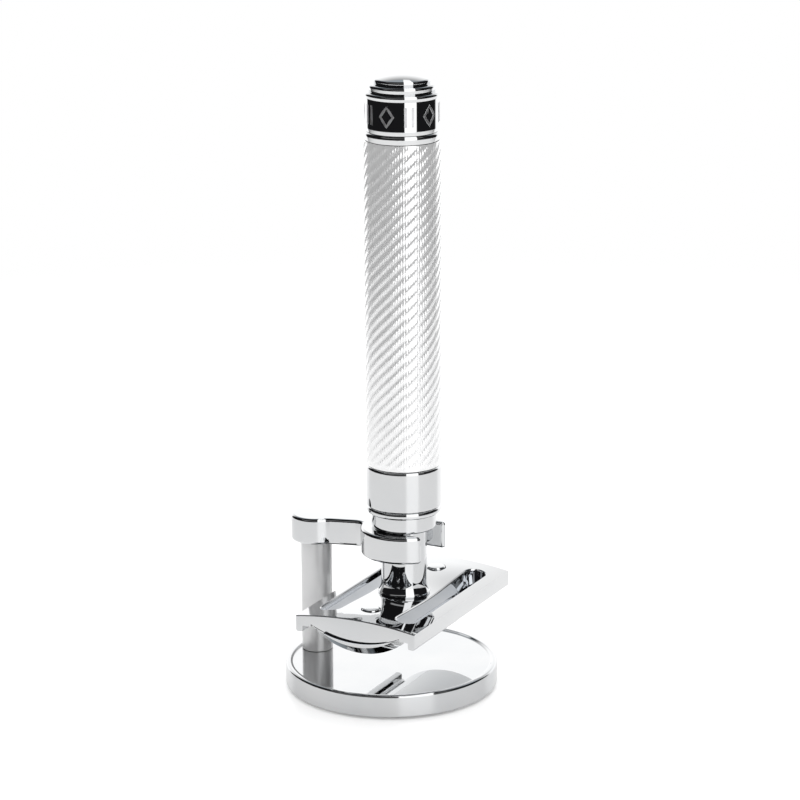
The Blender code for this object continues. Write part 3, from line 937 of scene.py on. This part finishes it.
def make_plate():
    bar_inner = PLATE_HALF_WIDTH - BAR_WIDTH
    relief = PLATE_LOW.z + BAR_RELIEF
    side = [
        (BED_HALF_WIDTH, relief, 0.1 * MM),
        (bar_inner, relief, 0.2 * MM),
        (bar_inner, PLATE_LOW.z, 0.35 * MM),
        (PLATE_HALF_WIDTH, PLATE_LOW.z, 0.35 * MM),
    ]
    bed_top = blade_mid(BED_HALF_WIDTH) + BLADE_PLAY
    right = rounded([(BED_HALF_WIDTH, bed_top, 0.0)] + side + [(PLATE_HALF_WIDTH, PLATE_HIGH.z, 0.0)])[1:-1]
    bed = [(x, blade_mid(x) + BLADE_PLAY) for x in evenly(-BED_HALF_WIDTH, BED_HALF_WIDTH, 36)]
    left = [(-x, z) for x, z in reversed(right)]
    under = left + bed + right
    tops = evenly(PLATE_HALF_WIDTH, -PLATE_HALF_WIDTH, 60)
    rings = []
    for y in end_places(PLATE_HALF_LENGTH, PLATE_END_ROUND, 90):
        ring = [(RAZOR[0] + x, y, z) for x, z in under]
        ring += [(RAZOR[0] + x, y, plate_top(x, y)) for x in tops]
        rings.append(ring)
    solid = skinned(rings)
    low = PLATE_LOW.z - 6.0 * MM
    straight = SLOT_HALF_LENGTH - SLOT_HALF_WIDTH
    cutters = []
    for side_x in (-SLOT_X, SLOT_X):
        slot = arc((side_x, straight), SLOT_HALF_WIDTH, 0, 180, 28)
        slot += [(side_x - SLOT_HALF_WIDTH, y) for y in evenly(straight, -straight, 40)[1:-1]]
        slot += arc((side_x, -straight), SLOT_HALF_WIDTH, 180, 360, 28)
        slot += [(side_x + SLOT_HALF_WIDTH, y) for y in evenly(-straight, straight, 40)[1:-1]]
        cutters.append(flared_cutter(slot, low, SLOT_ROUND))
    for pin in ("alignment_pin_front", "alignment_pin_back"):
        ring = arc((0.0, centre_of(pin)[1]), radius_of(pin) + PIN_PLAY, 0, 360, 48)[:-1]
        cutters.append(flared_cutter(ring, low, PIN_LIP))
    seat = bottom_of("neck") - TOUCH
    seat_outline = [
        (0.0, low),
        (STUD_HOLE, low),
        (STUD_HOLE, seat),
        (SEAT_RADIUS, seat),
        (SEAT_RADIUS, PLATE_HIGH.z + 1.0 * MM),
        (0.0, PLATE_HIGH.z + 1.0 * MM),
    ]
    cutters.append(lathe_mesh(seat_outline, 96, RAZOR, False))
    mesh = with_holes("guard_plate", solid, cutters, plate_normal)
    cut_piece("guard_plate", mesh, CHROME, "plate", ["base_plate"])


def blade_slot():
    """The blade's long slot, which widens round the stud and the two pins."""
    half_width, half_length = 1.0 * MM, 17.0 * MM
    pin_hole, stud_hole = 2.2 * MM, 2.85 * MM
    pin_y = centre_of("alignment_pin_back")[1]
    lobes = [(-pin_y, pin_hole), (0.0, stud_hole), (pin_y, pin_hole)]
    right = []
    for y in evenly(-half_length, half_length, 136):
        width = half_width
        for centre, radius in lobes:
            if abs(y - centre) < radius:
                width = max(width, sqrt(radius**2 - (y - centre) ** 2))
        right.append((width, y))
    return right + [(-x, y) for x, y in reversed(right)]


def blade_normal(point, normal):
    """The bent blade's true normal at a point on its two broad faces, or None elsewhere."""
    if abs(normal.y) > 0.3:
        return None
    axis = Vector((RAZOR[0], point.y, BLADE_LOW.z + 0.05 * MM + BEND_RADIUS))
    inward = (axis - point).normalized()
    if abs(inward.dot(normal)) < 0.96:
        return None
    return tuple(inward if inward.dot(normal) > 0 else -inward)


def make_blade():
    half_width = 11.0 * MM
    thickness = 0.1 * MM
    hone = 0.85 * MM
    reach = half_width / BEND_RADIUS
    upper, lower = [], []
    for angle in evenly(-reach, reach, 44):
        edge = half_width - abs(angle) * BEND_RADIUS
        half = thickness / 2 * min(1.0, 0.06 + 0.94 * edge / hone)
        for ring, radius in ((upper, BEND_RADIUS - half), (lower, BEND_RADIUS + half)):
            height = BLADE_LOW.z + thickness / 2 + BEND_RADIUS - radius * cos(angle)
            ring.append((RAZOR[0] + radius * sin(angle), height))
    section = lower + list(reversed(upper))
    half_length = (BLADE_HIGH.y - BLADE_LOW.y) / 2
    solid = skinned([[(x, y, z) for x, z in section] for y in evenly(-half_length, half_length, 60)])
    low, high = BLADE_LOW.z - 4.0 * MM, BLADE_HIGH.z + 4.0 * MM

    def upright(outline):
        return skinned([[(x, y, z) for x, y in outline] for z in (low, high)])

    cutters = [upright([(RAZOR[0] + x, y) for x, y in blade_slot()])]
    tab, body_half, clear = 6.5 * MM, 18.65 * MM, 30.0 * MM
    for side in (-1, 1):
        for end in (-1, 1):
            corner = rounded(
                [
                    (side * tab, end * clear, 0.0),
                    (side * tab, end * body_half, 0.5 * MM),
                    (side * clear, end * body_half, 0.0),
                    (side * clear, end * clear, 0.0),
                ],
                closed=True,
                steps=6,
            )
            cutters.append(upright([(RAZOR[0] + x, y) for x, y in corner]))
    mesh = with_holes("razor_blade", solid, cutters, blade_normal)
    cut_piece("razor_blade", mesh, BLADE_STEEL, "blade", ["blade"])


CAP_CHAMFER = 1.7 * MM
CAP_TAPER = 0.8  # of the chamfer, off each side
CAP_EDGE = 0.12 * MM  # least thickness
CAP_RADIUS = 15.0 * MM


def make_cap():
    low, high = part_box("cap")
    half_width = (high.x - low.x) / 2
    half_length = (high.y - low.y) / 2
    rings = []
    for y in end_places(half_length, CAP_CHAMFER, 40):
        drawn_in = max(0.0, CAP_CHAMFER - (half_length - abs(y)))
        width = half_width - CAP_TAPER * drawn_in
        places = evenly(-width, width, 48)
        ring = []
        for x in places:
            seat = blade_mid(x) - BLADE_PLAY
            crown = low.z + CAP_RADIUS - sqrt(CAP_RADIUS**2 - x * x) + drawn_in
            ring.append((RAZOR[0] + x, y, min(crown, seat - CAP_EDGE)))
        for x in reversed(places):
            ring.append((RAZOR[0] + x, y, blade_mid(x) - BLADE_PLAY))
        rings.append(ring)
    vertices, faces = skinned(rings)
    piece("cap_shell", vertices, faces, CHROME, "cap", ["cap"])


# Hidden pieces keep their CAD shape

def finish_hidden():
    for node, material in (
        ("base_pad", RUBBER),
        ("post_screw", ZINC),
        ("arm_stud", ZINC),
        ("thread_insert", BRASS),
        ("handle_core", ZINC),
    ):
        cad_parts[node].data.materials.clear()
        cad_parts[node].data.materials.append(material)


# Studio

def make_camera():
    elevation = CAMERA_ELEVATION
    distance = 623.87 * MM
    roll = radians(-0.286)
    aim_height = 58.025 * MM
    aim_shift = 0.662 * MM
    across = Vector((cos(CAMERA_AZIMUTH), sin(CAMERA_AZIMUTH), 0.0))
    away = Vector((-sin(CAMERA_AZIMUTH), cos(CAMERA_AZIMUTH), 0.0))
    up = Vector((0.0, 0.0, 1.0))
    middle = Vector((RAZOR[0], RAZOR[1], aim_height)) - across * aim_shift
    place = middle - away * distance * cos(elevation) + up * distance * sin(elevation)
    forward = away * cos(elevation) - up * sin(elevation)
    upward = across.cross(forward)
    right = across * cos(roll) + upward * sin(roll)
    top = upward * cos(roll) - across * sin(roll)
    data = bpy.data.cameras.new("camera")
    data.sensor_width = 36.0
    data.lens = 146.27
    data.clip_start = 0.01
    camera = linked("camera", data)
    turned_axes = Matrix((right, top, -forward)).transposed().to_4x4()
    camera.matrix_world = Matrix.Translation(place) @ turned_axes
    bpy.context.scene.camera = camera


FLOOR_CLEAR = 0.20  # metres from the middle, where the floor starts to fade
FLOOR_END = 0.36
FLOOR_DROP = 0.0001
FLOOR_SIDES = 96
FLOOR_GLOW = 0.22  # whitens what the camera sees of the floor, like an overexposed sweep


def make_floor():
    outline = [(0.0, -FLOOR_DROP), (FLOOR_END, -FLOOR_DROP)]
    vertices, faces = lathe_mesh(outline, FLOOR_SIDES, (0.0, 0.0), False)
    mesh = bpy.data.meshes.new("floor")
    mesh.from_pydata(vertices, [], faces)
    floor = linked("floor", mesh)
    material, nodes, links, shader = node_tree("pale_floor")
    shader.inputs["Base Color"].default_value = (0.9, 0.9, 0.9, 1.0)
    shader.inputs["Roughness"].default_value = 0.3
    shader.inputs["Specular IOR Level"].default_value = 0.5
    glow = nodes.new("ShaderNodeMath")
    glow.operation = "MULTIPLY"
    links.new(nodes.new("ShaderNodeLightPath").outputs["Is Camera Ray"], glow.inputs[0])
    glow.inputs[1].default_value = FLOOR_GLOW
    shader.inputs["Emission Color"].default_value = (1.0, 1.0, 1.0, 1.0)
    links.new(glow.outputs["Value"], shader.inputs["Emission Strength"])
    place = nodes.new("ShaderNodeTexCoord").outputs["Object"]
    length = nodes.new("ShaderNodeVectorMath")
    length.operation = "LENGTH"
    links.new(place, length.inputs[0])
    fade = nodes.new("ShaderNodeMapRange")
    fade.interpolation_type = "SMOOTHSTEP"
    fade.inputs["From Min"].default_value = FLOOR_CLEAR
    fade.inputs["From Max"].default_value = FLOOR_END
    links.new(length.outputs["Value"], fade.inputs["Value"])
    clear = nodes.new("ShaderNodeBsdfTransparent")
    mix = nodes.new("ShaderNodeMixShader")
    links.new(fade.outputs["Result"], mix.inputs[0])
    links.new(shader.outputs["BSDF"], mix.inputs[1])
    links.new(clear.outputs["BSDF"], mix.inputs[2])
    links.new(mix.outputs["Shader"], nodes["Material Output"].inputs["Surface"])
    mesh.materials.append(material)


class Studio:
    """Builds the world's light as soft cards laid out by azimuth and height."""

    def __init__(self):
        world = bpy.data.worlds.new("studio")
        bpy.context.scene.world = world
        world.use_nodes = True
        world.cycles.sampling_method = "NONE"
        self.nodes = world.node_tree.nodes
        self.links = world.node_tree.links
        self.background = self.nodes["Background"]
        direction = self.nodes.new("ShaderNodeTexCoord").outputs["Generated"]
        self.toward = self.dot(direction, (sin(CAMERA_AZIMUTH), -cos(CAMERA_AZIMUTH), 0.0))
        self.across = self.dot(direction, (cos(CAMERA_AZIMUTH), sin(CAMERA_AZIMUTH), 0.0))
        self.height = self.dot(direction, (0.0, 0.0, 1.0))
        self.azimuth = self.math("ARCTAN2", self.across, self.toward)
        self.light = None

    def dot(self, vector, axis):
        made = self.nodes.new("ShaderNodeVectorMath")
        made.operation = "DOT_PRODUCT"
        self.links.new(vector, made.inputs[0])
        made.inputs[1].default_value = axis
        return made.outputs["Value"]

    def math(self, operation, *values):
        made = self.nodes.new("ShaderNodeMath")
        made.operation = operation
        for place, value in enumerate(values):
            if isinstance(value, float):
                made.inputs[place].default_value = value
            else:
                self.links.new(value, made.inputs[place])
        return made.outputs["Value"]

    def rise(self, value, low, high):
        """0 below low, 1 above high; high below low makes it fall instead."""
        made = self.nodes.new("ShaderNodeMapRange")
        made.interpolation_type = "SMOOTHSTEP"
        made.inputs["From Min"].default_value = low
        made.inputs["From Max"].default_value = high
        self.links.new(value, made.inputs["Value"])
        return made.outputs["Result"]

    def card(self, colour, *masks):
        """Adds light of a colour where all masks are 1."""
        mask = masks[0]
        for other in masks[1:]:
            mask = self.math("MULTIPLY", mask, other)
        tinted = self.nodes.new("ShaderNodeVectorMath")
        tinted.operation = "SCALE"
        tinted.inputs[0].default_value = colour
        self.links.new(mask, tinted.inputs["Scale"])
        if self.light is None:
            self.light = tinted.outputs["Vector"]
            return
        total = self.nodes.new("ShaderNodeVectorMath")
        total.operation = "MAXIMUM"
        self.links.new(self.light, total.inputs[0])
        self.links.new(tinted.outputs["Vector"], total.inputs[1])
        self.light = total.outputs["Vector"]

    def finish(self, seen, scattered):
        """Plain light for what the camera sees and for matt surfaces, cards for gloss."""
        path = self.nodes.new("ShaderNodeLightPath")
        colour = self.light
        for output, level in (("Is Diffuse Ray", scattered), ("Is Camera Ray", seen)):
            mix = self.nodes.new("ShaderNodeMix")
            mix.data_type = "RGBA"
            self.links.new(path.outputs[output], mix.inputs["Factor"])
            self.links.new(colour, mix.inputs[6])
            mix.inputs[7].default_value = (level, level, level, 1.0)
            colour = mix.outputs[2]
        self.links.new(colour, self.background.inputs["Color"])


def make_studio():
    studio = Studio()
    height = studio.height

    # A dark room, never quite black
    studio.card((0.012, 0.012, 0.013), studio.rise(height, -2.0, -1.5))

    # A white backdrop behind the razor, which greys towards the ceiling
    turn = studio.math("ABSOLUTE", studio.math("ADD", studio.azimuth, radians(5)))
    behind = studio.rise(turn, radians(126), radians(136))
    studio.card((1.36, 1.36, 1.36), behind, studio.rise(height, 0.8, 0.3))
    studio.card((0.42, 0.46, 0.49), behind, studio.rise(height, 0.97, 0.66))

    # A tall strip light beside the camera, with upright edges in the handle's reflections
    view_depth = studio.math("ADD", studio.toward, cos(CAMERA_ELEVATION))
    facing = studio.math("DIVIDE", studio.across, view_depth)
    left_side = studio.rise(facing, tan(radians(3)), tan(radians(4.6)))
    right_side = studio.rise(facing, tan(radians(23.5)), tan(radians(22)))
    studio.card((1.6, 1.6, 1.6), left_side, right_side, studio.rise(studio.toward, -0.85, -0.75))

    # A dim card above the camera, which breaks up the dark upper roundings
    above_camera = (studio.rise(height, 0.53, 0.58), studio.rise(height, 0.72, 0.67))
    studio.card((0.4, 0.4, 0.4), *above_camera, studio.rise(studio.toward, 0.1, 0.3))

    studio.finish(seen=1.0, scattered=1.3)
    view = bpy.context.scene.view_settings
    view.view_transform = "Standard"
    view.look = "None"


make_camera()
make_base()
make_post()
make_arm()
make_neck()
make_collar()
make_bead()
make_band()
make_end_cap()
make_grip()
make_seals()
make_stud()
make_pins()
make_plate()
make_blade()
make_cap()
finish_hidden()
make_floor()
make_studio()
